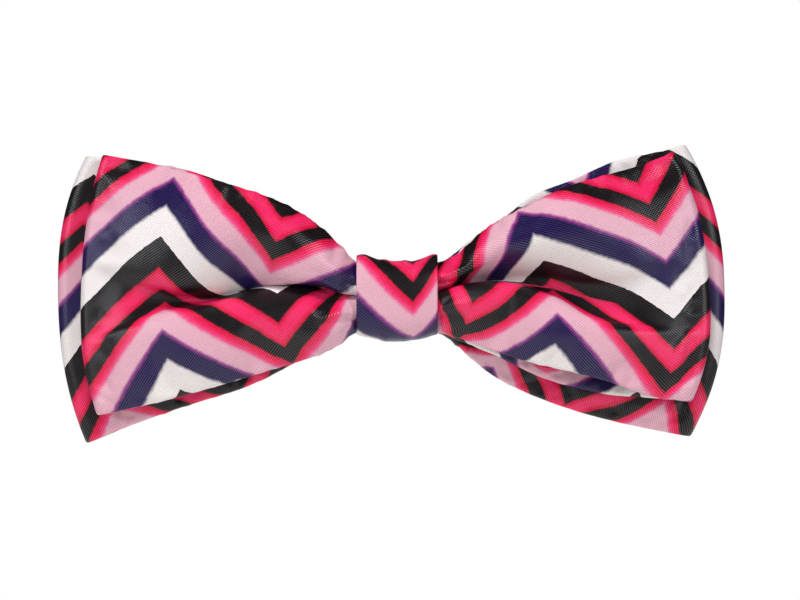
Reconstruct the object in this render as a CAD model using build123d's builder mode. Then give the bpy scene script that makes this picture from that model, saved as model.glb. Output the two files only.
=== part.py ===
from build123d import *
import math
import os
from dataclasses import dataclass

# A clip-on bow tie. Two satin bows, each one strip closed into a loop, are gathered by a
# thread winding and covered by a knot band. A pressed steel plate held under the band
# carries two sprung jaws that grip the shirt collar.
#
# Frame: origin in the middle of the knot, +X to the viewer's right, -Y to the front, +Z up.
# Every length is in millimetres and every angle in degrees.

# ---------------------------------------------------------------- driving dimensions

satin = 0.45  # one face of a folded strip
interlining = 0.40  # the stiffener between the two faces
strip = 2 * satin + interlining
slip = 0.03  # gap between the stiffener and the satin round it
hem = 0.5  # solid satin left at the long edges of a strip
edge_slit = 0.2  # where the two turned-in edges meet, inside each loop

waist_half_length = 6.5  # the gathered stretch, hidden by the knot
waist_half_height = 5.4
waist_depth = 4.6  # one bow's pleats, pressed together
waist_rounding = 3.0
waist_flare = 0.4  # how far the wings may already stand out inside the knot
tier_gap = 0.6  # between the two bows
end_radius = 1.6  # outside of the fold at each end of a loop

thread_radius = 0.22
thread_turns = 7
thread_pitch = 0.8
thread_slack = 0.2
stitch_radius = 0.17
stitch_length = 2.0
joint_half_width = 1.3  # recess where a strip's two ends are sewn together
joint_depth = 0.5

knot_length = 14.6  # along X
knot_front = -7.0
knot_back = 8.5
knot_bottom = -7.7
knot_top = 7.5
knot_rounding = 4.2
turn_in = 3.9  # width of the raw edges folded inside the band
lap_height = 5.8
lap_thickness = 1.1

steel = 0.7
plate_length = 54.0
plate_height = 7.0
plate_front = 6.2
pin_x = 15.5
pin_rise = 1.8  # pin axis above the plate's back face
pin_radius = 0.6
pin_fit = 0.015  # ear hole over the riveted pin
pin_clearance = 0.06  # jaw hole over the pin it turns on
rivet_head_radius = 1.15
rivet_head_height = 0.5
ear_half_width = 2.8
ear_radius = 1.6
flange = 0.6
flange_radius = 1.5
side_clearance = 0.1
jaw_height = 7.0
thumb_rounding = 1.6
tooth_count = 5
tooth_depth = 0.9
bite_gap = 0.15  # teeth to plate, with the jaw closed
wire_radius = 0.25
coil_radius = 1.3
coil_pitch = 0.62
coil_turns = 5
plate_leg_angle = 272.7  # where each leg leaves the coil, round the pin
lever_leg_angle = 83.0
plate_leg_length = 4.4
lever_leg_length = 3.2

plate_back = plate_front + steel
pin_y = plate_back + pin_rise
ear_inside = plate_height / 2 - steel


@dataclass
class Wing:
    """One wing seen from the front, from the gathered waist out to its end fold."""

    top: list  # points along the top edge, knot to corner
    end_middle: tuple  # furthest point of the bowed end
    bottom: list  # points along the bottom edge, knot to corner


@dataclass
class Tier:
    """One bow: its two wings, and the curves of its front and back walls seen from above."""

    left: Wing
    right: Wing
    waist_front: float  # y of the front of the pleats
    bulge_front: float  # y of the front wall where it stands out most
    bulge_back: float  # y of the back wall where it stands out most
    end_y: float  # y of the end folds


FRONT = Tier(
    left=Wing(
        top=[(-13.7, 12.4), (-32.8, 21.0), (-52.9, 25.4)],
        end_middle=(-56.9, 1.0),
        bottom=[(-17.7, -11.6), (-38.0, -17.9), (-53.9, -21.2)],
    ),
    right=Wing(
        top=[(13.1, 10.0), (30.4, 19.7), (49.8, 25.9)],
        end_middle=(56.1, 1.0),
        bottom=[(15.8, -9.4), (35.3, -17.1), (52.7, -18.7)],
    ),
    waist_front=-tier_gap / 2 - waist_depth,
    bulge_front=-9.6,
    bulge_back=-0.9,
    end_y=-3.0,
)
BACK = Tier(
    left=Wing(
        top=[(-13.7, 12.2), (-32.8, 21.2), (-56.2, 25.4)],
        end_middle=(-61.1, 2.0),
        bottom=[(-17.7, -11.6), (-38.5, -19.5), (-56.1, -26.5)],
    ),
    right=Wing(
        top=[(13.1, 10.0), (31.9, 21.2), (52.0, 27.4)],
        end_middle=(58.9, 1.2),
        bottom=[(13.1, -10.7), (30.3, -19.9), (52.9, -25.0)],
    ),
    waist_front=tier_gap / 2,
    bulge_front=0.8,
    bulge_back=5.6,
    end_y=2.6,
)


overall = (130, 40)  # comfortably outside both bows, seen from above


# ---------------------------------------------------------------- bows


def silhouette(tier, inset):
    """The tier's outline seen from the front, moved in, as a prism right through the tie."""
    waist_x = waist_half_length + strip
    waist_z = waist_half_height - inset
    with BuildPart() as prism:
        with BuildSketch(Plane.XZ):
            for side, wing in ((-1, tier.left), (1, tier.right)):
                top = [(x, z - inset) for x, z in wing.top]
                bottom = [(x, z + inset) for x, z in wing.bottom]
                top[-1] = (top[-1][0] - side * inset, top[-1][1])
                bottom[-1] = (bottom[-1][0] - side * inset, bottom[-1][1])
                end_middle = (wing.end_middle[0] - side * inset, wing.end_middle[1])
                with BuildLine():
                    Spline((side * waist_x, waist_z), *top)
                    ThreePointArc(top[-1], end_middle, bottom[-1])
                    Spline((side * waist_x, -waist_z), *bottom)
                    Polyline(
                        (side * waist_x, waist_z), (0, waist_z), (0, -waist_z), (side * waist_x, -waist_z)
                    )
                make_face()
        extrude(amount=overall[1], both=True)
    return prism.part


def loops(tier, inset):
    """Both loops of a tier as upright prisms, with their walls moved in by inset."""
    height = tier.right.top[-1][1] + 1
    front_middle = tier.bulge_front + inset
    back_middle = tier.bulge_back - inset
    fold_radius = end_radius - inset
    with BuildPart() as both:
        for side, wing in ((-1, tier.left), (1, tier.right)):
            reach = abs(wing.end_middle[0])
            middle = side * reach / 2
            fold_x = side * (reach - end_radius)
            waist_x = side * (waist_half_length + inset)
            front_start = (waist_x, tier.waist_front + inset)
            back_start = (waist_x, tier.waist_front + waist_depth - inset)
            fold_front = (fold_x, tier.end_y - fold_radius)
            fold_tip = (fold_x + side * fold_radius, tier.end_y)
            fold_back = (fold_x, tier.end_y + fold_radius)
            with BuildSketch():
                with BuildLine():
                    ThreePointArc(front_start, (middle, front_middle), fold_front)
                    ThreePointArc(fold_front, fold_tip, fold_back)
                    ThreePointArc(fold_back, (middle, back_middle), back_start)
                    Line(back_start, front_start)
                make_face()
            extrude(amount=height, both=True)
    return both.part


def waist_block(tier, half_length, depth, half_height):
    """A block in the middle of a tier's waist."""
    middle = tier.waist_front + waist_depth / 2
    with BuildPart() as block:
        with BuildSketch(Plane.XZ.offset(-middle)):
            Rectangle(2 * half_length, 2 * half_height)
        extrude(amount=depth / 2, both=True)
    return block.part


def stiffener(tier, gap):
    """The interlining of a tier, or, with a gap of 0, the pocket it lies in."""
    with BuildPart() as core:
        add(loops(tier, satin + gap))
        add(loops(tier, satin + interlining - gap), mode=Mode.SUBTRACT)
        add(silhouette(tier, hem + gap), mode=Mode.INTERSECT)
        link = waist_half_length + satin + interlining / 2
        add(waist_block(tier, link, interlining - 2 * gap, waist_half_height - hem - gap))
    return core.part


def waist_trim():
    """What is cut off the two waists to round their pressed pleats."""
    depth = 2 * (waist_depth + waist_flare) + tier_gap
    with BuildPart() as trim:
        with BuildSketch(Plane.YZ):
            Rectangle(2 * depth, 4 * waist_half_height)
            RectangleRounded(depth, 2 * waist_half_height, waist_rounding, mode=Mode.SUBTRACT)
        extrude(amount=knot_length / 2 + slip, both=True)
    return trim.part


def edge_slits(tier):
    """The line inside each loop where the strip's turned-in edges meet."""
    with BuildPart() as slits:
        add(loops(tier, satin + interlining))
        add(loops(tier, strip), mode=Mode.SUBTRACT)
        with BuildSketch():
            Rectangle(*overall)
        extrude(amount=edge_slit / 2, both=True, mode=Mode.INTERSECT)
    return slits.part


def bow_satin(tier):
    """The satin of one bow: a hollow folded strip closed into a loop on each side."""
    waist_back = tier.waist_front + waist_depth
    with BuildPart() as bow:
        add(loops(tier, 0))
        add(waist_block(tier, waist_half_length, waist_depth, waist_half_height))
        add(silhouette(tier, 0), mode=Mode.INTERSECT)
        add(loops(tier, strip), mode=Mode.SUBTRACT)
        add(stiffener(tier, 0), mode=Mode.SUBTRACT)
        add(edge_slits(tier), mode=Mode.SUBTRACT)
        add(waist_trim(), mode=Mode.SUBTRACT)
        with BuildSketch(Plane.XZ.offset(-waist_back)):
            Rectangle(2 * joint_half_width, 3 * waist_half_height)
        extrude(amount=joint_depth, mode=Mode.SUBTRACT)
    return bow.part


def seam_stitches(tier):
    """Stitches lying across the recess where a strip's two ends meet."""
    recess = tier.waist_front + waist_depth - joint_depth
    with BuildPart() as stitches:
        with BuildSketch(Plane.YZ.offset(-stitch_length / 2)):
            with Locations((recess + stitch_radius + slip, 0)):
                with GridLocations(0, 1.8, 1, 5):
                    Circle(stitch_radius)
        extrude(amount=stitch_length)
    return stitches.part


def winding():
    """The thread wound round both waists, as a row of close turns."""
    half_depth = waist_depth + tier_gap / 2 + thread_radius + thread_slack
    half_height = waist_half_height + thread_radius + thread_slack
    first_turn = -(thread_turns - 1) / 2 * thread_pitch
    with BuildPart() as thread:
        for turn in range(thread_turns):
            turn_plane = Plane.YZ.offset(first_turn + turn * thread_pitch)
            with BuildSketch(turn_plane, mode=Mode.PRIVATE) as core:
                RectangleRounded(2 * half_depth, 2 * half_height, waist_rounding)
            path = core.sketch.wire()
            with BuildSketch(Plane(origin=path @ 0, z_dir=path % 0)):
                Circle(thread_radius)
            sweep(path=path)
    return thread.part


# ---------------------------------------------------------------- knot band

knot_middle = Plane(
    origin=(0, (knot_front + knot_back) / 2, (knot_top + knot_bottom) / 2),
    x_dir=(0, 1, 0),
    z_dir=(1, 0, 0),
)


def sleeve(outer_inset, inner_inset, half_length):
    """A rounded-square sleeve round the waist, between two insets from the band's face."""
    depth, height = knot_back - knot_front, knot_top - knot_bottom
    with BuildPart() as ring:
        with BuildSketch(knot_middle):
            RectangleRounded(
                depth - 2 * outer_inset,
                height - 2 * outer_inset,
                knot_rounding - outer_inset,
            )
            RectangleRounded(
                depth - 2 * inner_inset,
                height - 2 * inner_inset,
                knot_rounding - inner_inset,
                mode=Mode.SUBTRACT,
            )
        extrude(amount=half_length, both=True)
    return ring.part


def make_knot_band():
    """The band: a face, edges folded inside over the stiffener, and a lapped end behind."""
    half = knot_length / 2
    with BuildPart() as band:
        add(sleeve(0, strip, half))
        add(sleeve(satin, satin + interlining, half - satin), mode=Mode.SUBTRACT)
        add(sleeve(satin, strip, half - turn_in), mode=Mode.SUBTRACT)
        with BuildSketch(Plane.XZ.offset(-knot_back)):
            RectangleRounded(knot_length, lap_height, 0.4)
        extrude(amount=-lap_thickness)
    return band.part


def closing_stitches():
    """Short stitches in the corner under the band's lapped end."""
    with BuildPart() as stitches:
        corner = (knot_back + stitch_radius + slip, -lap_height / 2 - stitch_radius - slip)
        with BuildSketch(Plane.YZ):
            with Locations(corner):
                Circle(stitch_radius)
        extrude(amount=stitch_length / 4, both=True)
        row = stitches.part
        with GridLocations(1.8, 0, 7, 1):
            add(row)
    return stitches.part


# ---------------------------------------------------------------- collar clip


def pin_hole(radius):
    """A bore along the hinge axis of the right jaw."""
    with BuildPart() as bore:
        with BuildSketch():
            with Locations((pin_x, pin_y)):
                Circle(radius)
        extrude(amount=plate_height, both=True)
    return bore.part


def make_clip_base():
    """The pressed plate, with a pair of ears for each hinge pin and ribbed ends."""
    with BuildPart() as half_base:
        with BuildSketch(Plane.XZ.offset(-plate_front)):
            RectangleRounded(plate_length, plate_height, 1.2)
        extrude(amount=-steel)
        with BuildSketch(Plane.XY.offset(-plate_height / 2)):
            with BuildLine():
                Polyline(
                    (pin_x - ear_half_width, plate_front),
                    (pin_x + ear_half_width, plate_front),
                    (pin_x + ear_half_width, pin_y - 1.2),
                    (pin_x + ear_radius, pin_y),
                    (pin_x - ear_radius, pin_y),
                    (pin_x - ear_half_width, pin_y - 1.2),
                    close=True,
                )
            make_face()
            with Locations((pin_x, pin_y)):
                Circle(ear_radius)
        extrude(amount=steel)
        mirror(about=Plane.XY)
        add(pin_hole(pin_radius + pin_fit), mode=Mode.SUBTRACT)
        rib_pitch = 1.1
        with BuildSketch(Plane.XY.offset(-plate_height / 2)):
            for rib in range(3):
                with Locations((plate_length / 2 - 1.2 - rib * rib_pitch, plate_back)):
                    Rectangle(0.5, 0.4, rotation=45)
        extrude(amount=plate_height, mode=Mode.SUBTRACT)
        split(bisect_by=Plane.YZ)
    with BuildPart() as base:
        add(half_base.part)
        mirror(about=Plane.YZ)
    return base.part


def make_right_jaw():
    """A pressed lever: thumb tab by the knot, toothed lip at the plate's end."""
    lever_y = pin_y + flange_radius + 0.5 + steel / 2
    thumb = (pin_x - 6.1, lever_y + 1.7)
    heel = (pin_x - 3.1, lever_y)
    shoulder = (pin_x + 3.1, lever_y)
    lip_top = (pin_x + 9.2, lever_y - 1.7)
    lip = (pin_x + 10.0, plate_back + bite_gap)
    with BuildPart() as jaw:
        with BuildSketch(Plane.XY.offset(-jaw_height / 2)):
            with BuildLine():
                FilletPolyline(thumb, heel, shoulder, lip_top, lip, radius=0.7)
            trace(line_width=steel)
            # the lip's edge stops square, just clear of the plate
            with Locations((lip[0], plate_back + bite_gap - 1)):
                Rectangle(4, 2, mode=Mode.SUBTRACT)
        extrude(amount=jaw_height)
        flange_outside = ear_inside - side_clearance
        with BuildSketch(Plane.XY.offset(-flange_outside)):
            with Locations((pin_x, pin_y)):
                Circle(flange_radius)
            with Locations((pin_x, (pin_y + lever_y) / 2)):
                Rectangle(2 * flange_radius, lever_y - pin_y)
        extrude(amount=flange)
        with BuildSketch(Plane.XY.offset(flange_outside - flange)):
            with Locations((pin_x, pin_y)):
                Circle(flange_radius)
            with Locations((pin_x, (pin_y + lever_y) / 2)):
                Rectangle(2 * flange_radius, lever_y - pin_y)
        extrude(amount=flange)
        add(pin_hole(pin_radius + pin_clearance), mode=Mode.SUBTRACT)
        # notches between the teeth, cut up from the lip's edge
        tooth_pitch = jaw_height / tooth_count
        with BuildSketch(Plane.YZ.offset(lip[0] - 1.5)):
            with Locations((lip[1], 0)):
                with GridLocations(0, tooth_pitch, 1, tooth_count + 1):
                    Rectangle(tooth_depth, tooth_depth, rotation=45)
        extrude(amount=3, mode=Mode.SUBTRACT)
        thumb_end = jaw.faces().sort_by(Axis.X)[0]
        fillet(thumb_end.edges().filter_by(Axis.Z, reverse=True), thumb_rounding)
    return jaw.part


def make_right_pin():
    """The riveted hinge pin of the right jaw."""
    with BuildPart() as pin:
        reach = plate_height / 2 + 0.02
        with BuildSketch(Plane.XY.offset(-reach)):
            with Locations((pin_x, pin_y)):
                Circle(pin_radius)
        extrude(amount=2 * reach)
        with BuildSketch(Plane.XY.offset(reach)):
            with Locations((pin_x, pin_y)):
                Circle(rivet_head_radius)
        extrude(amount=rivet_head_height)
        rim = pin.edges().filter_by(GeomType.CIRCLE).sort_by(Axis.Z)[-1]
        fillet(rim, rivet_head_height * 0.8)
        head = pin.part
        mirror(head, about=Plane.XY)
    return pin.part


def make_right_spring():
    """The torsion spring: coils on the pin, one leg on the plate, one under the lever."""
    turns = coil_turns - (plate_leg_angle - lever_leg_angle) / 360
    height = turns * coil_pitch
    with BuildPart() as spring:
        with BuildLine() as coil:
            Helix(pitch=coil_pitch, height=height, radius=coil_radius)
        plate_end = Plane(origin=coil.line @ 0, z_dir=coil.line % 0)
        lever_end = Plane(origin=coil.line @ 1, z_dir=coil.line % 1)
        with BuildSketch(plate_end):
            Circle(wire_radius)
        sweep(path=coil.line, is_frenet=True)
        with BuildSketch(plate_end):
            Circle(wire_radius)
        extrude(amount=-plate_leg_length)
        with BuildSketch(lever_end):
            Circle(wire_radius)
        extrude(amount=lever_leg_length)
    on_pin = Location((pin_x, pin_y, -height / 2), (0, 0, plate_leg_angle))
    return on_pin * spring.part


def mirrored(piece):
    """The left-hand twin of a right-hand piece."""
    with BuildPart() as twin:
        mirror(piece, about=Plane.YZ)
    return twin.part


# ---------------------------------------------------------------- pieces

pieces = {
    "front_bow_satin": bow_satin(FRONT),
    "front_bow_interlining": stiffener(FRONT, slip),
    "front_bow_seam_stitches": seam_stitches(FRONT),
    "back_bow_satin": bow_satin(BACK),
    "back_bow_interlining": stiffener(BACK, slip),
    "back_bow_seam_stitches": seam_stitches(BACK),
    "gather_thread": winding(),
    "knot_wrap": make_knot_band(),
    "knot_interlining": sleeve(satin + slip, satin + interlining - slip, knot_length / 2 - satin - slip),
    "knot_closing_stitches": closing_stitches(),
    "clip_base": make_clip_base(),
    "right_jaw": make_right_jaw(),
    "right_hinge_pin": make_right_pin(),
    "right_jaw_spring": make_right_spring(),
}
for name in ("jaw", "hinge_pin", "jaw_spring"):
    pieces[f"left_{name}"] = mirrored(pieces[f"right_{name}"])

os.makedirs("parts", exist_ok=True)
for name, piece in pieces.items():
    piece.label = name
    export_step(piece, f"parts/{name}.step")
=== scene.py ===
import math

import bpy
import numpy as np
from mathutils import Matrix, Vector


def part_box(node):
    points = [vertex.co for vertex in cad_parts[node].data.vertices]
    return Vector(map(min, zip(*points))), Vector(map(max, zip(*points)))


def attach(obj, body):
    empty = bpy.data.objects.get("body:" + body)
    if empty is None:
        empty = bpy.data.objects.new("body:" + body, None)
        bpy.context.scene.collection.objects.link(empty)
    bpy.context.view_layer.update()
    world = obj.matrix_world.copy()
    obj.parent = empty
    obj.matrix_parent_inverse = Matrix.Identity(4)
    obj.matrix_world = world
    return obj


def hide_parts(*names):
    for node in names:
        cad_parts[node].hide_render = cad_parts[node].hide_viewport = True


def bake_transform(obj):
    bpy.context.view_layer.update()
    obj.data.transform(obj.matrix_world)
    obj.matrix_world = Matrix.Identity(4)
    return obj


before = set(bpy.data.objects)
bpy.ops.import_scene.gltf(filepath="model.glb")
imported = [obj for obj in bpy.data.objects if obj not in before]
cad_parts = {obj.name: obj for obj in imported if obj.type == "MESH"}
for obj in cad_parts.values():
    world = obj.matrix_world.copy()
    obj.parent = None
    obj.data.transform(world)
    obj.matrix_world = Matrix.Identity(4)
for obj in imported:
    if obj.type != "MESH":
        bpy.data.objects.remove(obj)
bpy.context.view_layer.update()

# ================================================================ sizes, in millimetres

MM = 0.001

HALF = 0.5  # half the thickness of a strip: satin, interlining, satin
STIFFENER_HALF = 0.14  # half the thickness of the interlining in it
FRONT_CLOTH = 46.6  # height of the front bow's strip lying flat
BACK_CLOTH = 53.5
FRONT_FOLD = 1.0  # radius of the fold at a loop's end
BACK_FOLD = 1.3
END_BOW = 2.4  # how squarely the end's curve meets the corners
CROWN_BOW = 2.5  # how squarely a plain panel's crown meets its long edges

GATHER = 0.22  # height of the small folds beside the knot
GATHER_AT, GATHER_REACH = 9, 8  # where they stand highest, and how far from there they fade
BROAD_FOLDS, FINE_FOLDS = 5.5, 9  # how many there are across the cloth
BROAD_SHIFT = 0.15  # how far the broad ones are shifted, as a share of one fold
FINE_HEIGHT, FINE_DRIFT = 0.6, 0.03  # the fine ones' share of the height, and how they slant

LINE_POINTS = 800  # points on a smooth line
SECTION_POINTS = 401  # points on a creased section, before they are spread evenly
STATIONS = 110  # places along one wing's panel
ROWS = 34  # places across each of its two lobes
LEVELS = 200  # heights on the cloth at which its length is measured
FOLD_STEPS = 7
EDGE_STEPS = 3  # points round a strip's long edge

REPEAT = 30.6  # print: height of the whole set of stripes
PERIOD = 41.2  # print: width of one zigzag
RISE = 18.2  # print: height of one zigzag
WARP, WEFT = 0.56, 0.46  # weave: its repeat across and down

# ================================================================ the wings
#
# A wing is drawn by lines that start at the knot: its top edge, its middle or crease, and its
# bottom edge, as (x, z) places. Everything else is keyed as (distance from the knot, value):
#   edge, upper, lower  how far forward the long edges and the two lobes stand
#   valley, gap         depth of the crease between the lobes, and half its width
#   lap                 how far the upper lobe hangs over the crease; the lower one's, if negative
#   lip_up, lip_low     how far up each lobe's side its lip stands
#   roll_top, roll_low  cloth turned under at the long edges
#   open                where the crease has opened out, so that no cloth is left inside it

FRONT_LEFT = dict(
    side=-1,
    top=[
        (-0.3, 5.6), (-4, 5.8), (-7.3, 6.3), (-9.1, 7.9), (-13.7, 12.4),
        (-20.7, 16.9), (-32.8, 21.0), (-44.1, 24.0), (-52.9, 25.4),
    ],
    middle=[(-0.3, 0), (-7.3, 0.3), (-14.5, 2.1), (-23.7, 2.0), (-30, 0.3), (-40, -0.6), (-56.8, -1.0)],
    bottom=[
        (-0.3, -5.6), (-4, -5.8), (-7.3, -6.4), (-10.6, -8.6),
        (-17.7, -11.6), (-31, -15.6), (-45.4, -19.5), (-53.9, -21.2),
    ],
    edge=[(0, 2.4), (7.3, 2.7), (10, 4.4), (16, 6.4), (24, 7.0), (34, 6.9), (45, 5.8), (56, 3.6)],
    upper=[(0, 4.6), (7.3, 5.3), (11, 7.4), (16, 9.2), (24, 10.4), (34, 10.2), (45, 7.6), (56, 3.6)],
    lower=[(0, 4.6), (7.3, 5.3), (11, 7.2), (16, 8.8), (24, 9.8), (34, 9.7), (45, 7.4), (56, 3.6)],
    valley=[
        (0, 2.4), (7.3, 2.4), (11, 2.3), (16, 2.3), (24, 2.4),
        (34, 2.8), (41, 3.6), (48, 4.6), (56, 3.6),
    ],
    gap=[(0, 0.55), (7.3, 0.55), (20, 0.6), (30, 0.9), (38, 1.8), (44, 3.0), (50, 5.0), (56, 7.0)],
    lap=[(0, 0.3), (7.3, 0.3), (12, 1.0), (20, 1.2), (26, 0.4), (34, 0.2), (44, 0), (56, 0)],
    lip_up=[(0, 0.9), (18, 0.8), (24, 0.3), (29, 0.15), (34, 0.4), (44, 1), (56, 1)],
    lip_low=[(0, 0.8), (16, 0.6), (30, 0.7), (44, 1), (56, 1)],
    roll_top=[(0, 4.5), (14, 4), (20, 3.2), (30, 2.6), (36, 1.6), (42, 2.2), (56, 1.9)],
    roll_low=[(0, 7), (10, 6), (20, 3), (42, 1.0), (56, 0.3)],
    open=(36, 46),
)
FRONT_RIGHT = dict(
    side=1,
    top=[
        (0.3, 5.6), (4, 5.8), (7.3, 6.2), (10.3, 7.4), (15.1, 11.5),
        (21.2, 15.3), (30.4, 19.7), (43.4, 23.6), (49.8, 25.9),
    ],
    middle=[(0.3, 0), (7.4, 0.8), (14, 1.9), (22.7, 1.9), (30, 0.8), (38, -0.6), (46, -0.4), (56.1, 1.0)],
    bottom=[
        (0.3, -5.6), (4, -5.8), (7.3, -6.4), (13.1, -8.1),
        (22.4, -11.3), (38.5, -15.4), (46, -17.9), (53.0, -18.7),
    ],
    edge=[(0, 2.4), (7.3, 2.7), (10, 4.4), (16, 6.4), (24, 7.0), (34, 6.9), (45, 5.4), (56, 3.6)],
    upper=[
        (0, 4.6), (7.3, 5.3), (11, 7.4), (16, 9.2), (24, 10.6),
        (34, 10.2), (42, 7.8), (48, 5.6), (56, 3.6),
    ],
    lower=[(0, 4.6), (7.3, 5.3), (11, 7.2), (16, 8.6), (24, 9.0), (34, 8.6), (45, 6.2), (56, 3.6)],
    valley=[
        (0, 2.4), (7.3, 2.4), (11, 2.3), (16, 2.3), (24, 2.3),
        (30, 2.4), (38, 3.6), (45, 4.8), (56, 3.6),
    ],
    gap=[
        (0, 0.55), (7.3, 0.55), (16, 0.7), (22, 1.2), (30, 2.6),
        (38, 4.0), (44, 5.0), (50, 6), (56, 7.0),
    ],
    lap=[(0, -0.3), (7.3, -0.3), (12, -1.0), (20, -1.2), (28, -0.6), (34, 0), (44, 0), (56, 0)],
    lip_up=[(0, 0.7), (12, 0.35), (22, 0.1), (32, 0.2), (45, 0.8), (56, 1)],
    lip_low=[(0, 0.9), (20, 0.9), (30, 0.7), (45, 0.95), (56, 1)],
    roll_top=[(0, 4), (20, 3.0), (30, 2.8), (40, 2.6), (48, 2.8), (56, 1.3)],
    roll_low=[(0, 1), (12, 1), (22, 3.5), (30, 4.0), (38, 3.4), (46, 3.0), (50, 2.6), (56, 1.3)],
    open=(34, 44),
)

# Panels with no crease: depth is keyed for the long edges, and crown is added to it between them.

FRONT_LEFT_BACK = dict(
    side=-1,
    top=FRONT_LEFT["top"],
    middle=[(-0.3, 0), (-30, 1.0), (-56.8, -1.0)],
    bottom=FRONT_LEFT["bottom"],
    depth=[(0, 1.2), (44, 1.2), (56, 1.6)],
    crown=[(0, 0), (56, 0)],
    roll_top=[(0, 1), (42, 0.8), (56, 0.3)],
    roll_low=[(0, 1), (42, 0.8), (56, 0.3)],
)
FRONT_RIGHT_BACK = dict(
    side=1,
    top=FRONT_RIGHT["top"],
    middle=[(0.3, 0), (30, 1.0), (56.1, 1.0)],
    bottom=[
        (0.3, -5.6), (4, -5.8), (7.3, -6.5), (13.1, -8.6), (18.2, -10.7),
        (24.5, -13.8), (32.4, -16.4), (38.5, -17.6), (46, -18.2), (53.0, -18.7),
    ],
    depth=[(0, 1.2), (44, 1.2), (56, 1.6)],
    crown=[(0, 0), (56, 0)],
    roll_top=[(0, 1), (48, 2.0), (56, 1.3)],
    roll_low=[(0, 1), (14, -1), (19, -2), (24, 0.5), (29, 4.8), (36, 5.2), (43, 5.3), (50, 3), (56, 1.3)],
)
BACK_LEFT = dict(
    side=-1,
    top=[
        (-0.3, 5.4), (-7.3, 6.0), (-13.7, 12.2), (-20.7, 16.8), (-32.8, 21.2),
        (-38, 22.9), (-44.1, 24.0), (-52, 25.0), (-56.2, 25.4),
    ],
    middle=[(-0.3, 0), (-30, 1.0), (-61.1, 2.5)],
    bottom=[
        (-0.3, -5.4), (-7.3, -6.2), (-10.6, -8.5), (-17.7, -11.6), (-24.7, -15.1),
        (-35, -18.7), (-44.1, -21.7), (-52.7, -25.0), (-56.1, -26.5),
    ],
    depth=[(0, -0.9), (44, -1.1), (60, -1.4)],
    crown=[(0, 0), (12, 0.1), (40, 0.1), (60, 0)],
    roll_top=[(0, 1), (60, 0.5)],
    roll_low=[(0, 1), (60, 0.5)],
)
BACK_RIGHT = dict(
    side=1,
    top=[
        (0.3, 5.4), (7.3, 6.0), (13.1, 9.9), (18.5, 13.6), (25.4, 18.6),
        (31.9, 21.2), (38.7, 24.2), (48.9, 26.5), (52.0, 27.4),
    ],
    middle=[(0.3, 0), (30, 1.0), (58.9, 1.0)],
    bottom=[
        (0.3, -5.4), (7.3, -6.4), (9.95, -8.0), (13.1, -10.7), (17.1, -13.9),
        (22.4, -16.8), (30.3, -19.9), (38.2, -22.2), (46.2, -23.9), (52.9, -25.0),
    ],
    depth=[(0, -0.9), (44, -1.1), (60, -1.4)],
    crown=[(0, 0), (12, 0.1), (40, 0.1), (60, 0)],
    roll_top=[(0, 2.8), (20, 2.8), (38, 4.5), (48, 4.0), (54, 2.6), (60, 2.6)],
    roll_low=[(0, 3.7), (22, 3.7), (36, 0.6), (47, 4.2), (60, 4.2)],
)
BACK_DEPTH = [(0, -4.9), (28, -5.2), (44, -5.2), (60, -4.0)]  # of the back bow's back panels

# Print:
#   peak      how far in from a loop's end a zigzag peaks
#   start     how far down the cloth its stripes start
#   turn      the angle, in degrees, that it is turned by
#   slip      how much further along the back panel's print has slipped
#   tight     how tightly the zigzags follow each other: under 1 where the cloth is stretched
#   gathered  how much tighter still they are where the lower lobe is gathered towards the knot

FRONT_LEFT_PRINT = dict(peak=15.3, start=-6.7, turn=-3.2)
FRONT_RIGHT_PRINT = dict(peak=29.3, start=-9.9, turn=4.0, slip=5.5, tight=0.956, gathered=0.34)
BACK_LEFT_PRINT = dict(peak=5.4, start=12.7, turn=-5.4)
BACK_RIGHT_PRINT = dict(peak=7.0, start=8.6, turn=-2.5, tight=1.33)
SLIP_LENGTH = 20  # the slip builds up over this length of the back panel
GATHERED_DEPTH = 10  # and the gathering over this height of the lower lobe

# ================================================================ curves


def spline(at, values, where):
    """A natural cubic spline through values at the places at, read off at where."""
    step = np.diff(at)
    slope = np.diff(values, axis=0) / step[:, None]
    system = np.eye(len(at))
    right = np.zeros_like(values)
    for i in range(1, len(at) - 1):
        system[i, i - 1 : i + 2] = step[i - 1] / 6, (step[i - 1] + step[i]) / 3, step[i] / 6
        right[i] = slope[i] - slope[i - 1]
    bend = np.linalg.solve(system, right)
    i = np.clip(np.searchsorted(at, where) - 1, 0, len(at) - 2)
    h = step[i][:, None]
    a = (at[i + 1] - where)[:, None] / h
    b = 1 - a
    curve = ((a**3 - a) * bend[i] + (b**3 - b) * bend[i + 1]) * h**2 / 6
    return a * values[i] + b * values[i + 1] + curve


def lengths(points):
    """Distance along a polyline, at each of its points."""
    return np.concatenate([[0], np.cumsum(np.linalg.norm(np.diff(points, axis=0), axis=1))])


def at_places(points, along, where):
    """A polyline's points at the distances where, if its own are at the distances along."""
    return np.stack([np.interp(where, along, column) for column in points.T], axis=1)


def even(points, count):
    """A polyline's points, spaced evenly along it."""
    along = lengths(points)
    return at_places(points, along, np.linspace(0, along[-1], count))


def smooth_line(points):
    """A smooth line through points, as evenly spaced points."""
    points = np.array(points, float)
    along = lengths(points)
    return even(spline(along, points, np.linspace(0, along[-1], LINE_POINTS)), LINE_POINTS)


def eased(t):
    """From 0 to 1 as t does the same, with a soft start and a soft stop."""
    t = np.clip(t, 0, 1)
    return t * t * (3 - 2 * t)


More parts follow.
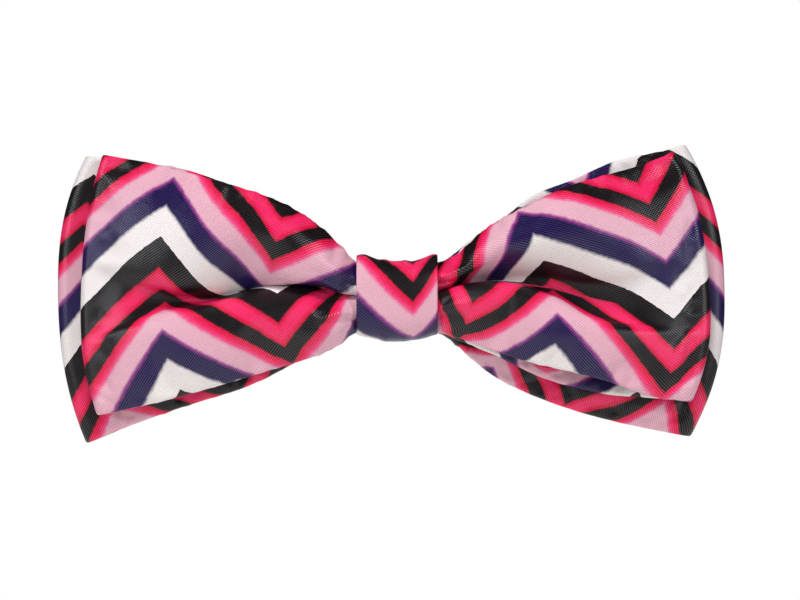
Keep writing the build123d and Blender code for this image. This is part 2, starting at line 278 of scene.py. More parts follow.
def keyed(where, pairs):
    """A smooth curve through (place, value) pairs that never overshoots them."""
    at, values = np.array(pairs, float).T
    gap = np.diff(at)
    slope = np.diff(values) / gap
    same = slope[:-1] * slope[1:] > 0
    total = np.where(same, slope[:-1] + slope[1:], 1)
    middle = np.where(same, 2 * slope[:-1] * slope[1:] / total, 0)
    tangent = np.concatenate([[slope[0]], middle, [slope[-1]]])
    i = np.clip(np.searchsorted(at, where) - 1, 0, len(at) - 2)
    t = np.clip((where - at[i]) / gap[i], 0, 1)
    start = t * (1 - t) ** 2 * tangent[i]
    end = t * t * (t - 1) * tangent[i + 1]
    return (1 - eased(t)) * values[i] + eased(t) * values[i + 1] + gap[i] * (start + end)


def bspline_weights(controls, samples):
    """How much each control point counts at each sample of a clamped cubic B-spline."""
    spans = controls - 3
    knots = np.concatenate([[0] * 3, np.arange(spans + 1), [spans] * 3]).astype(float)
    where = np.linspace(0, spans - 1e-9, samples)
    weights = [((low <= where) & (where < high)).astype(float) for low, high in zip(knots, knots[1:])]
    for degree in (1, 2, 3):
        for k in range(len(knots) - 1 - degree):
            rise = knots[k + degree] - knots[k]
            fall = knots[k + degree + 1] - knots[k + 1]
            left = (where - knots[k]) / rise * weights[k] if rise else 0
            right = (knots[k + degree + 1] - where) / fall * weights[k + 1] if fall else 0
            weights[k] = left + right
    return np.stack(weights[:controls], axis=1)


# ================================================================ surfaces of the cloth


class Chords:
    """Straight lines from a panel's top edge to its bottom edge, from the knot to the loop's end."""

    def __init__(self, wing, fold):
        self.wing = wing
        ends = []
        for name in ("top", "middle", "bottom"):
            line = smooth_line(wing[name])
            along = lengths(line)
            out = np.linspace(0, along[-1] - fold - HALF, STATIONS)
            ends.append(at_places(line, along, out))
            if name == "middle":
                self.out = out
        top, middle, bottom = ends
        across = bottom - top
        height = np.linalg.norm(across, axis=1)
        self.across = across / height[:, None]
        self.top, self.height = top + HALF * self.across, height - 2 * HALF
        self.outward = np.stack([-self.across[:, 1], self.across[:, 0]], axis=1)
        self.outward *= np.sign(self.outward[:, :1] * wing["side"])
        self.crease = ((middle - self.top) * self.across).sum(1)  # how far down each chord it lies
        self.bow = ((middle - top) * self.outward).sum(1)  # how far outward of each chord it lies

    def keyed(self, *names):
        """The wing's keyed values at every chord, for each of the names."""
        return [keyed(self.out, self.wing[name]) for name in names]

    def surface(self, part, depth):
        """Points at part of the way down each chord from its top, bowed outward and brought forward."""
        down = part * self.height[:, None]
        crease = self.crease[:, None]
        above = 1 - down / crease
        below = (down - crease) / (self.height[:, None] - crease)
        off = np.where(down < crease, above, below)
        bow = self.bow[:, None] * (1 - np.clip(np.abs(off), 0, 1) ** END_BOW)
        flat = self.top[:, None] + down[..., None] * self.across[:, None]
        flat = flat + bow[..., None] * self.outward[:, None]
        return np.stack([flat[..., 0], -depth, flat[..., 1]], axis=-1)


def creased_panel(wing, cloth, fold):
    """Middle surface of a panel with a crease along it, and how far down the cloth each point is."""
    chords = Chords(wing, fold)
    edge, upper, lower, valley = chords.keyed("edge", "upper", "lower", "valley")
    gap, lap, lip_up, lip_low = chords.keyed("gap", "lap", "lip_up", "lip_low")
    roll_top, roll_low = chords.keyed("roll_top", "roll_low")
    crease = chords.crease
    low = chords.height - crease
    up_side = valley + (upper - valley) * lip_up
    low_side = valley + (lower - valley) * lip_low
    controls = [  # of the panel's section: distance down the chord, and depth
        (0 * crease, edge),
        (0.21 * crease, 0.35 * edge + 0.65 * upper),
        (0.45 * crease, upper),
        (crease - gap + lap, up_side),
        (crease - gap + 0.25 * lap, 0.7 * valley + 0.3 * up_side),
        (crease, valley),
        (crease + gap + 0.25 * lap, 0.7 * valley + 0.3 * low_side),
        (crease + gap + lap, low_side),
        (crease + 0.40 * low, lower),
        (crease + 0.79 * low, 0.35 * edge + 0.65 * lower),
        (chords.height, edge),
    ]
    weights = bspline_weights(len(controls), SECTION_POINTS)
    curves = np.einsum("sk,knd->nsd", weights, np.moveaxis(np.array(controls), 1, 2))
    middle = SECTION_POINTS // 2
    start, stop = wing["open"]
    opened = eased((chords.out - start) / (stop - start))
    section, down = [], []
    for n, curve in enumerate(curves):
        lobes = even(curve[: middle + 1], ROWS), even(curve[middle:], ROWS)
        drops = [lengths(lobe) for lobe in lobes]
        held = drops[0][-1] + drops[1][-1]
        scale = 1 + opened[n] * ((cloth - roll_top[n] - roll_low[n]) / held - 1)
        section.append(np.concatenate([lobes[0], lobes[1][1:]]))
        upper_down = roll_top[n] + drops[0] * scale
        lower_down = cloth - roll_low[n] - (drops[1][-1] - drops[1][1:]) * scale
        down.append(np.concatenate([upper_down, lower_down]))
    section = np.array(section)
    section[..., 1] += gathers(chords.out, len(section[0]))
    return chords.surface(section[..., 0] / chords.height[:, None], section[..., 1]), np.array(down)


def gathers(out, rows):
    """Depth of the small folds that fan out of the knot, for each place along and row across."""
    near = GATHER * np.exp(-(((out - GATHER_AT) / GATHER_REACH) ** 2))[:, None]
    across = np.linspace(0, 1, rows)[None]
    broad = np.sin(2 * math.pi * (BROAD_FOLDS * across + BROAD_SHIFT))
    fine = np.sin(2 * math.pi * (FINE_FOLDS * across + FINE_DRIFT * out[:, None]))
    return near * (broad + FINE_HEIGHT * fine) * np.sin(math.pi * across) ** 0.5


def plain_panel(wing, cloth, fold):
    """Middle surface of a panel with no crease, and how far down the cloth each point is."""
    chords = Chords(wing, fold)
    part = np.linspace(0, 1, 2 * ROWS - 1)[None].repeat(STATIONS, axis=0)
    values = chords.keyed("depth", "crown", "roll_top", "roll_low")
    depth, crown, roll_top, roll_low = (value[:, None] for value in values)
    middle = chords.surface(part, depth + crown * (1 - np.abs(2 * part - 1) ** CROWN_BOW))
    return middle, roll_top + part * (cloth - roll_top - roll_low)


def run_in(middle, down):
    """Distance along the cloth from a panel's end, followed at a constant height on the cloth."""
    distance = np.zeros(down.shape)
    for lobe in (slice(0, ROWS), slice(ROWS - 1, None)):
        sections, drops = middle[:, lobe], down[:, lobe]
        levels = np.linspace(drops.min(), drops.max(), LEVELS)
        lines = np.array([at_places(section, drop, levels) for section, drop in zip(sections, drops)])
        steps = np.linalg.norm(np.diff(lines, axis=0), axis=2)
        runs = np.concatenate([np.cumsum(steps[::-1], axis=0)[::-1], np.zeros((1, LEVELS))])
        distance[:, lobe] = [np.interp(drop, levels, run) for drop, run in zip(drops, runs)]
    return distance


def printed(run, down, cloth, peak, start, turn, slip=0, tight=1, gathered=0):
    """Print coordinates, across the zigzags and down the stripes, of cloth at run and down."""
    cos, sin = math.cos(math.radians(turn)), math.sin(math.radians(turn))
    low = down - cloth / 2
    run = run - slip * np.clip(-run / SLIP_LENGTH, 0, 1)
    run = run + gathered * np.clip(run - peak, 0, None) * np.clip(low / GATHERED_DEPTH, 0, 1)
    across = tight * (cos * run + sin * low - peak)
    return np.stack([across, cos * low - sin * run + cloth / 2 - start], axis=-1)


def matched(panel, end):
    """A panel with its rows moved to where the rows of another panel's end are."""
    share, own = (lengths(line) / lengths(line)[-1] for line in (end, panel[0][-1]))
    middle = np.array([at_places(line, own, share) for line in panel[0]])
    return middle, np.array([np.interp(share, own, line) for line in panel[1]])


def wing_loop(front, back, cloth, lay):
    """One wing of a strip: out along the front panel, round the end, back along the back panel."""
    front_mid, front_down = front
    back_mid, back_down = matched(back, front_mid[-1])
    near, far = front_mid[-1], back_mid[-1]
    reach = far - near
    radius = np.linalg.norm(reach, axis=1)[:, None] / 2
    out = (near - front_mid[-3]) * (1, 0, 1)
    out /= np.linalg.norm(out, axis=1)[:, None]
    angle = np.linspace(0, math.pi, FOLD_STEPS + 2)[1:-1, None, None]
    fold_mid = (near + far) / 2 - np.cos(angle) * reach / 2 + np.sin(angle) * out * radius
    fold_run = (math.pi / 2 - angle[..., 0]) * radius[:, 0]
    share = angle[..., 0] / math.pi
    fold_down = (1 - share) * front_down[-1] + share * back_down[-1]
    bend = math.pi / 2 * radius[:, 0]
    front_run = run_in(front_mid, front_down) + bend
    back_run = -(run_in(back_mid, back_down) + bend)
    middle = np.concatenate([front_mid, fold_mid, back_mid[::-1]])
    run = np.concatenate([front_run, fold_run, back_run[::-1]])
    down = np.concatenate([front_down, fold_down, back_down[::-1]])
    return middle, printed(run, down, cloth, **lay)


def whole_strip(left, right):
    """Both wings as one closed strip, from the knot round the left wing and then the right."""
    return [np.concatenate([one, other[::-1]]) for one, other in zip(left, right)]


# ================================================================ meshes


def normals_of(middle):
    """Unit normals of a surface that is closed along its first direction."""
    along = np.roll(middle, -1, axis=0) - np.roll(middle, 1, axis=0)
    across = np.gradient(middle, axis=1)
    normal = np.cross(along, across)
    return normal / np.linalg.norm(normal, axis=2)[..., None]


def rounded_edge(middle, normal, lay, half, row, inner):
    """Points and print coordinates round a band's long edge at row, from its front to its back."""
    out = middle[:, row] - middle[:, inner]
    out /= np.linalg.norm(out, axis=1)[:, None]
    angle = np.linspace(0, math.pi, EDGE_STEPS + 2)[1:-1]
    ring = [middle[:, row] + half * (math.cos(a) * normal[:, row] + math.sin(a) * out) for a in angle]
    past_row = half * np.minimum(angle, math.pi - angle) * (-1 if row == 0 else 1)
    return np.stack(ring, axis=1), lay[:, row][:, None] + past_row[None, :, None] * (0, 1)


def band(name, middle, lay, half):
    """A closed band of cloth round a middle surface, with rounded long edges."""
    normal = normals_of(middle)
    front, back = middle + half * normal, middle - half * normal
    low_edge, low_print = rounded_edge(middle, normal, lay, half, -1, -2)
    top_edge, top_print = rounded_edge(middle, normal, lay, half, 0, 1)
    points = np.concatenate([front, low_edge, back[:, ::-1], top_edge[:, ::-1]], axis=1)
    prints = np.concatenate([lay, low_print, lay[:, ::-1], top_print[:, ::-1]], axis=1)
    faces = quads(points.shape[:2], (1, 1))
    return mesh_piece(name, points.reshape(-1, 3), faces, prints.reshape(-1, 2))


def quads(shape, closed):
    """Four-sided faces between a grid's points; closed is 1 for each direction that closes on itself."""
    index = np.arange(shape[0] * shape[1]).reshape(shape)
    index = np.pad(index, [(0, closed[0]), (0, closed[1])], mode="wrap")
    near, far = index[:-1], index[1:]
    corners = [near[:, :-1], near[:, 1:], far[:, 1:], far[:, :-1]]
    return np.stack(corners, axis=-1).reshape(-1, 4).tolist()


def mesh_piece(name, points, faces, prints=None):
    """A smooth-shaded mesh from points in millimetres, with any print coordinates stored on it."""
    mesh = bpy.data.meshes.new(name)
    mesh.from_pydata((points * MM).tolist(), [], faces)
    if prints is not None:
        store = mesh.attributes.new("print", "FLOAT_VECTOR", "POINT")
        flat = np.concatenate([prints, np.zeros((len(prints), 1))], axis=1)
        store.data.foreach_set("vector", flat.ravel().astype(np.float32))
    mesh.polygons.foreach_set("use_smooth", [True] * len(mesh.polygons))
    mesh.update()
    piece = bpy.data.objects.new(name, mesh)
    bpy.context.scene.collection.objects.link(piece)
    return piece


# ================================================================ cloth simulation

SIM_SCALE = 20  # the solver works best on pieces of a metre or so
SIM_STEPS = 16
SLACK = 0.035  # how much longer the cloth wants to be than its drawn surface
CAP = 0.55  # furthest that a point may move, in millimetres
COARSE = (3, 2)  # the simulated sheet keeps every third station and every second row
CLOTH = dict(
    quality=6,
    mass=0.15,
    tension_stiffness=20,
    compression_stiffness=20,
    shear_stiffness=8,
    bending_stiffness=2,
    shrink_min=-SLACK,
)
HELD_AT_KNOT, FREE_FROM_KNOT = 8, 11  # distances from the middle of the bow
FREE_TO_END, HELD_AT_END = 50, 54
EDGE_HOLD, EDGE_FADE = 0.9, 12  # how firmly a long edge is held, and how quickly that fades inward


def hold(middle):
    """How firmly each point is held: at the knot, along the long edges and at the loops' ends."""
    out = np.abs(middle[..., 0])
    across = np.abs(np.linspace(-1, 1, middle.shape[1]))[None]
    knot = np.clip((FREE_FROM_KNOT - out) / (FREE_FROM_KNOT - HELD_AT_KNOT), 0, 1)
    end = np.clip((out - FREE_TO_END) / (HELD_AT_END - FREE_TO_END), 0, 1)
    return np.maximum(np.maximum(knot, end), EDGE_HOLD * across**EDGE_FADE)


def relaxed(middle):
    """A strip's middle surface after a short cloth simulation, which ripples it softly."""
    coarse = middle[:: COARSE[0], :: COARSE[1]]
    faces = quads(coarse.shape[:2], (1, 0))
    sheet = mesh_piece("relaxing_sheet", coarse.reshape(-1, 3) * SIM_SCALE, faces)
    held = sheet.vertex_groups.new(name="held")
    for vertex, weight in enumerate(hold(coarse).ravel()):
        held.add([vertex], float(weight), "REPLACE")
    cloth = sheet.modifiers.new("cloth", "CLOTH")
    for key, value in CLOTH.items():
        setattr(cloth.settings, key, value)
    cloth.settings.vertex_group_mass = "held"
    cloth.settings.effector_weights.gravity = 0
    cloth.collision_settings.use_collision = False
    for step in range(1, SIM_STEPS + 1):
        bpy.context.scene.frame_set(step)
    settled = sheet.evaluated_get(bpy.context.evaluated_depsgraph_get()).data
    places = np.empty(coarse.size)
    settled.vertices.foreach_get("co", places)
    moved = places.reshape(coarse.shape) / (SIM_SCALE * MM) - coarse
    bpy.data.objects.remove(sheet)
    bpy.context.scene.frame_set(1)
    far = np.linalg.norm(moved, axis=-1, keepdims=True) + 1e-9
    moved *= CAP * np.tanh(far / CAP) / far
    return middle + finer(moved, middle.shape)


def finer(coarse, shape):
    """A field on the simulated sheet, spread over all the points of a strip's middle surface."""
    along = np.arange(shape[0]) / COARSE[0]
    across = np.arange(shape[1]) / COARSE[1]
    closed = np.concatenate([coarse, coarse[:1]])
    closed_at = np.append(np.arange(len(coarse)), shape[0] / COARSE[0])
    i = np.clip(np.searchsorted(closed_at, along, "right") - 1, 0, len(closed_at) - 2)
    share = ((along - closed_at[i]) / (closed_at[i + 1] - closed_at[i]))[:, None, None]
    long_way = closed[i] * (1 - share) + closed[i + 1] * share
    j = np.clip(across.astype(int), 0, coarse.shape[1] - 2)
    share = (across - j)[None, :, None]
    return long_way[:, j] * (1 - share) + long_way[:, j + 1] * share


# ================================================================ materials


class Nodes:
    """A new material's node tree, with short calls for the nodes used here."""

    def __init__(self, name):
        self.material = bpy.data.materials.new(name)
        self.material.use_nodes = True
        self.tree = self.material.node_tree
        self.shader = self.tree.nodes["Principled BSDF"]

    def add(self, kind, inputs=(), **settings):
        node = self.tree.nodes.new(kind)
        for key, value in settings.items():
            setattr(node, key, value)
        for key, value in dict(inputs).items():
            self.set(node.inputs[key], value)
        return node

    def set(self, socket, value):
        if isinstance(value, bpy.types.NodeSocket):
            self.tree.links.new(value, socket)
        else:
            socket.default_value = value

    def math(self, operation, *values):
        return self.add("ShaderNodeMath", enumerate(values), operation=operation).outputs[0]

    def noise(self, vector, scale, detail=2.0):
        inputs = {"Vector": vector, "Scale": scale, "Detail": detail}
        return self.add("ShaderNodeTexNoise", inputs).outputs["Fac"]

    def position(self):
        return self.add("ShaderNodeTexCoord").outputs["Object"]

    def mix(self, share, first, second, blend="MIX"):
        node = self.add("ShaderNodeMix", data_type="RGBA", blend_type=blend)
        for socket, value in zip([s for s in node.inputs if s.enabled], (share, first, second)):
            self.set(socket, value)
        return next(s for s in node.outputs if s.enabled)

    def ramp(self, share, stops):
        node = self.add("ShaderNodeValToRGB", {"Fac": share})
        while len(node.color_ramp.elements) < len(stops):
            node.color_ramp.elements.new(0.5)
        for element, (place, colour) in zip(node.color_ramp.elements, stops):
            element.position = place
            element.color = linear(colour)
        return node.outputs["Color"]

    def bump(self, height, strength, distance):
        inputs = {"Height": height, "Strength": strength, "Distance": distance}
        return self.add("ShaderNodeBump", inputs).outputs["Normal"]

    def finish(self, **inputs):
        for key, value in inputs.items():
            self.set(self.shader.inputs[key.replace("_", " ")], value)
        return self.material


def linear(colour):
    """A linear RGBA colour from a hex colour code."""
    parts = [int(colour[i : i + 2], 16) / 255 for i in (1, 3, 5)]
    return tuple(c / 12.92 if c < 0.04045 else ((c + 0.055) / 1.055) ** 2.4 for c in parts) + (1,)


BLACK, NAVY = "#0d0607", "#1c0c45"
HOT, CRIMSON, ROSE, PINK = "#ea235f", "#d80a3e", "#e64a80", "#dfa8b7"
MAGENTA, CREAM = "#8a2f80", "#e9e0dd"
PAINTED_GLINT = "#a99aa8"  # painted highlight: pale glints of the weave's threads, painted into the colour
STRIPES = [  # top to bottom: where each colour starts and stops, in millimetres down the repeat
    (0.15, 5.2, BLACK, BLACK),
    (5.65, 5.9, CRIMSON, CRIMSON),
    (6.6, 8.4, HOT, HOT),
    (9.1, 9.35, CRIMSON, CRIMSON),
    (9.8, 12.8, BLACK, BLACK),
    (13.2, 13.5, CRIMSON, CRIMSON),
    (14.4, 15.1, HOT, ROSE),
    (15.9, 19.5, PINK, PINK),
    (20.1, 20.2, MAGENTA, MAGENTA),
    (20.8, 24.8, NAVY, NAVY),
    (25.6, 30.2, CREAM, CREAM),
]


BLEED = 0.5  # how far the stripes' edges wander, in millimetres
WEAVE_SHADE, WORN_SHADE = 0.20, 0.30  # how much the weave and the wear change the print's brightness
PAINTED_GLINT_SHARE = 0.12  # how much of the painted highlight, pale thread glints in the colour, shows
TWILL = 0.4  # share of slanted lines in the weave, beside its checks
PRINT_SHADE = 0.92  # brightness of the printed colours where the cloth is even
THREAD_HEIGHT = 0.032  # of the weave's relief


def satin_material():
    """Woven satin printed with zigzag stripes."""
    n = Nodes("printed_satin")
    place = n.add("ShaderNodeAttribute", attribute_name="print").outputs["Vector"]
    split = n.add("ShaderNodeSeparateXYZ", {"Vector": place})
    across, down = split.outputs["X"], split.outputs["Y"]

    # print: the stripe that a point is in, from how far it is below the zigzag
    zigzag = n.math("MULTIPLY", n.math("PINGPONG", across, PERIOD / 2), 2 * RISE / PERIOD)
    bleed = n.math("MULTIPLY", n.math("SUBTRACT", n.noise(place, scale=1.1), 0.5), BLEED)
    offset = n.math("ADD", n.math("SUBTRACT", down, zigzag), RISE / 2)
    stripe = n.math("FRACT", n.math("DIVIDE", n.math("ADD", offset, bleed), REPEAT))
    stops = []
    for start, stop, first, last in STRIPES:
        stops += [(start / REPEAT, first), (stop / REPEAT, last)]
    colour = n.ramp(stripe, stops)

    # weave: checks of fine floats and the slanted lines of a twill, from -1 to 1
    def wave(value, repeat):
        return n.math("SINE", n.math("MULTIPLY", value, 2 * math.pi / repeat))

    checks = n.math("MULTIPLY", wave(across, WARP), wave(down, WEFT))
    twill = wave(n.math("MULTIPLY_ADD", across, WEFT / WARP, down), WEFT)
    weave = n.math("ADD", n.math("MULTIPLY", checks, 1 - TWILL), n.math("MULTIPLY", twill, TWILL))

    # wear: broad patches in the sheen, and finer ones in the colour
    patches = n.noise(place, scale=0.22, detail=3.0)
    uneven = n.noise(place, scale=2.6, detail=4.0)
    shade = n.math("MULTIPLY_ADD", weave, WEAVE_SHADE, PRINT_SHADE)
    shade = n.math("ADD", shade, n.math("MULTIPLY", n.math("SUBTRACT", uneven, 0.5), WORN_SHADE))
    grey = n.add("ShaderNodeCombineXYZ", enumerate((shade, shade, shade))).outputs[0]
    colour = n.mix(1.0, colour, grey, "MULTIPLY")
    # painted highlight: pale glints on the weave's threads, mixed into the colour alike in light and in
    # shade
    painted_glints = n.math("MULTIPLY", n.math("MAXIMUM", weave, 0.0), n.math("MULTIPLY", uneven, PAINTED_GLINT_SHARE))
    colour = n.mix(painted_glints, colour, linear(PAINTED_GLINT))
    height = n.math("MULTIPLY_ADD", uneven, 0.6, weave)
    return n.finish(
        Base_Color=colour,
        Roughness=n.math("MULTIPLY_ADD", patches, 0.24, 0.215),
        Normal=n.bump(height, strength=0.6, distance=THREAD_HEIGHT * MM),
        Specular_IOR_Level=n.math("MULTIPLY_ADD", weave, 0.5, 0.42),
        Anisotropic=0.4,
    )


CANVAS_RIB = 0.6  # width of a rib of the interlining


def interlining_material():
    """Off-white woven stiffener, coarse and matt."""
    n = Nodes("interlining_canvas")
    place = n.position()
    split = n.add("ShaderNodeSeparateXYZ", {"Vector": place})
    turns = 2 * math.pi / (CANVAS_RIB * MM)
    ribs = [n.math("SINE", n.math("MULTIPLY", split.outputs[axis], turns)) for axis in ("X", "Z")]
    weave = n.math("MULTIPLY", *ribs)
    slub = n.noise(place, scale=900, detail=3.0)
    colour = n.mix(n.math("MULTIPLY_ADD", weave, 0.3, slub), linear("#d8d0c2"), linear("#f1ece1"))
    normal = n.bump(weave, strength=0.5, distance=0.1 * MM)
    return n.finish(Base_Color=colour, Roughness=0.9, Normal=normal, Sheen_Weight=0.2)


def thread_material(name, dark, light):
    """Twisted sewing thread."""
    n = Nodes(name)
    inputs = {"Vector": n.position(), "Scale": 900.0, "Distortion": 1.5}
    twist = n.add("ShaderNodeTexWave", inputs, bands_direction="DIAGONAL").outputs["Fac"]
    colour = n.mix(twist, linear(dark), linear(light))
    normal = n.bump(twist, strength=0.6, distance=0.05 * MM)
    return n.finish(Base_Color=colour, Roughness=0.62, Normal=normal, Sheen_Weight=0.3)


def metal_material(name, colour, rough, grain, scratch):
    """Bare or plated metal: brushed grain, patches of wear and fine scratches."""
    n = Nodes(name)
    place = n.position()
    stretched = n.add("ShaderNodeVectorMath", {0: place, 1: grain}, operation="MULTIPLY").outputs[0]
    brushed = n.noise(stretched, scale=1.0, detail=4.0)
    patches = n.noise(place, scale=260, detail=4.0)
    worn = n.mix(n.math("MULTIPLY", patches, 0.5), linear(colour), linear("#8f8a84"))
    roughness = n.math("MULTIPLY_ADD", brushed, 0.18, rough - 0.09)
    roughness = n.math("ADD", roughness, n.math("MULTIPLY", patches, 0.1))
    normal = n.bump(brushed, strength=scratch, distance=0.03 * MM)
    return n.finish(Base_Color=worn, Metallic=1.0, Roughness=roughness, Normal=normal)


def paint(node, material):
    """Gives a CAD node its material."""
    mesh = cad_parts[node].data
    mesh.materials.clear()
    mesh.materials.append(material)


satin = satin_material()
canvas = interlining_material()

# ================================================================ the two bows


def front_wing(front, back, lay):
    """One wing of the front bow: a creased panel, and a plain one behind it."""
    front = creased_panel(front, FRONT_CLOTH, FRONT_FOLD)
    back = plain_panel(back, FRONT_CLOTH, FRONT_FOLD)
    return wing_loop(front, back, FRONT_CLOTH, lay)


def back_wing(wing, lay):
    """One wing of the back bow: two plain panels of the same outline, at two depths."""
    front = plain_panel(wing, BACK_CLOTH, BACK_FOLD)
    back = plain_panel(dict(wing, depth=BACK_DEPTH), BACK_CLOTH, BACK_FOLD)
    return wing_loop(front, back, BACK_CLOTH, lay)


def build_strip(name, left, right):
    """A bow of two wings: its printed strip and the interlining inside it."""
    middle, lay = whole_strip(left, right)
    middle = relaxed(middle)
    strip = band(name, middle, lay, HALF)
    strip.data.materials.append(satin)
    inside = name.replace("satin", "interlining")
    stiffener = band(inside, middle[:, 1:-1], lay[:, 1:-1], STIFFENER_HALF)
    stiffener.data.materials.append(canvas)
    return strip, stiffener


front_strip, front_stiffener = build_strip(
    "front_bow_satin_strip",
    front_wing(FRONT_LEFT, FRONT_LEFT_BACK, FRONT_LEFT_PRINT),
    front_wing(FRONT_RIGHT, FRONT_RIGHT_BACK, FRONT_RIGHT_PRINT),
)
back_strip, back_stiffener = build_strip(
    "back_bow_satin_strip",
    back_wing(BACK_LEFT, BACK_LEFT_PRINT),
    back_wing(BACK_RIGHT, BACK_RIGHT_PRINT),
)

# ================================================================ the knot

KNOT_HALF_WIDTH = 7.3
KNOT_HALF = 0.28  # half the thickness of the band
KNOT_STIFFENER_HALF = 0.12
KNOT_ROUND, KNOT_ACROSS = 144, 45  # points round the band and across it
KNOT_SQUARE = 0.62  # power that makes its round section squarer
KNOT_BACK = 8.85
KNOT_TOP = [(-7.1, 7.3), (-6.3, 7.4), (-3.5, 6.6), (0, 6.25), (2.7, 6.25), (5, 6.8), (6.6, 7.5), (7.1, 7.4)]
KNOT_LOW = [(-7.1, 6.5), (-5, 7.1), (-1, 7.8), (3, 7.5), (7.1, 6.5)]
KNOT_FRONT = [(-7.1, -6.5), (-4, -6.9), (0, -7.0), (4, -6.9), (7.1, -6.5)]
SEAM = -2.2  # height of the lapped end's edge, behind the knot
LAP, LAP_EDGE = 0.45, 0.28  # how far the lapped end stands proud, and how wide its folded edge is
LAP_STARTS, LAP_FULL = 5, 1  # distances from the edge at which it starts to rise, and has risen
PAST_EDGE = 0.02  # the next point beyond the edge, so that the print changes sharply there
PLEAT = 0.15  # height of the soft pleats in the knot
PLEATED = ((62, 34, 1), (292, 24, 0.5))  # where: angle round the knot, spread in degrees, strength
PLEAT_WAVES = ((0.4, 3.4, 1), (-0.8, 1.9, 0.5))  # place, width and share of the height
KNOT_PRINT_AT = (2.9, 21.3)  # where its zigzag points down, and how far down the stripes start
KNOT_TIGHT = ((0.95, 0.03), (1.45, 0.05))  # its tightness and how that changes, left and right of there
TIGHT_WITHIN = 8  # how far round the knot from the front's middle the tightness changes


def knot_surface():
    """Middle surface of the knot band and its print coordinates, round the knot from the front."""
    edge_x = KNOT_HALF_WIDTH - KNOT_HALF
    x = np.linspace(-edge_x, edge_x, KNOT_ACROSS)[None]
    turn = np.linspace(0, 2 * math.pi, 4 * KNOT_ROUND, endpoint=False)[:, None]
    cos, sin = np.cos(turn), np.sin(turn)
    front, back = keyed(x, KNOT_FRONT) + KNOT_HALF, KNOT_BACK - KNOT_HALF
    height = np.where(sin > 0, keyed(x, KNOT_TOP), -keyed(x, KNOT_LOW))
    y = np.where(cos > 0, front, back) * np.abs(cos) ** KNOT_SQUARE
    z = height * np.abs(sin) ** KNOT_SQUARE
    pleat = PLEAT * pleats(x, turn)
    points = np.stack([x + 0 * turn, y - pleat * np.abs(cos), z + pleat * sin], axis=-1)
    columns = [knot_column(x[0, k], points[:, k]) for k in range(KNOT_ACROSS)]
    return [np.stack(field, axis=1) for field in zip(*columns)]


def pleats(x, turn):
    """Shape of the pleats across the knot and round it, from about -1 to 1."""
    high, wave = 0, 0
    for at, spread, share in PLEATED:
        high = high + share * np.exp(-(((turn - math.radians(at)) / math.radians(spread)) ** 2))
    for at, width, share in PLEAT_WAVES:
        wave = wave + share * np.sin(2 * math.pi * (x - at) / width)
    return high * wave * np.cos(math.pi * x / (2 * KNOT_HALF_WIDTH)) ** 0.6


def knot_column(x, points):
    """One line round the knot band, with its lapped end behind, and the line's print coordinates."""
    ring = np.concatenate([points, points[:1]])
    along = lengths(ring)
    behind = ring[:, 1] > KNOT_BACK / 2
    seam = np.interp(-SEAM, -ring[behind, 2], along[behind])
    edge = seam + LAP_EDGE
    over = np.linspace(0, seam, KNOT_ROUND * 2 // 3)
    under = np.linspace(edge + PAST_EDGE, along[-1], KNOT_ROUND // 3, endpoint=False)
    where = np.concatenate([over, [edge], under])
    risen = np.clip((where - seam + LAP_STARTS) / (LAP_STARTS - LAP_FULL), 0, 1)
    lift = np.where(where > seam, 0, LAP * risen)
    middle = at_places(ring, along, where) + lift[:, None] * [0, 1, 0]
    up = np.where(where > edge, where - along[-1], where)
    side = x - KNOT_PRINT_AT[0]
    tight, change = KNOT_TIGHT[0 if side < 0 else 1]
    tight = tight + change * np.clip(up, -TIGHT_WITHIN, TIGHT_WITHIN)
    return middle, np.stack([PERIOD / 2 + side * tight, KNOT_PRINT_AT[1] - up], axis=1)


knot_middle, knot_lay = knot_surface()
knot = band("knot_wrap_band", knot_middle[::-1], knot_lay[::-1], KNOT_HALF)
knot.data.materials.append(satin)
knot_stiffener = band(
    "knot_interlining_band",
    knot_middle[::-1, 1:-1],
    knot_lay[::-1, 1:-1],
    KNOT_STIFFENER_HALF,
)
knot_stiffener.data.materials.append(canvas)

# ================================================================ the springs

WIRE = 0.25  # radius of a spring's wire
COIL = 1.3  # radius of its coil
COIL_PITCH = 0.62
COIL_TURNS = 5
PLATE_LEG, LEVER_LEG = 272.7, 83.0  # degrees round the pin where the legs leave the coil
PLATE_LEG_LENGTH, LEVER_LEG_LENGTH = 4.4, 3.2
TIP, TIP_LENGTH = 0.6, 0.08  # an end face's share of the wire's radius, and length of its bevel
WIRE_SIDES = 12
COIL_POINTS, LEG_POINTS = 150, 8


def wire(name, path, radius):
    """A round wire along a path that never runs along z, with bevelled ends."""
    along = np.gradient(path, axis=0)
    along /= np.linalg.norm(along, axis=1)[:, None]
    beside = np.cross([0, 0, 1], along)
    beside /= np.linalg.norm(beside, axis=1)[:, None]
    above = np.cross(along, beside)
    thick = np.full(len(path), radius)
    thick[[0, -1]] *= TIP
    angle = np.linspace(0, 2 * math.pi, WIRE_SIDES, endpoint=False)[None, :, None]
    ring = np.cos(angle) * beside[:, None] + np.sin(angle) * above[:, None]
    points = (path[:, None] + thick[:, None, None] * ring).reshape(-1, 3)
    first = list(range(WIRE_SIDES))
    last = [len(points) - WIRE_SIDES + point for point in first]
    return mesh_piece(name, points, quads((len(path), WIRE_SIDES), (0, 1)) + [first[::-1], last])


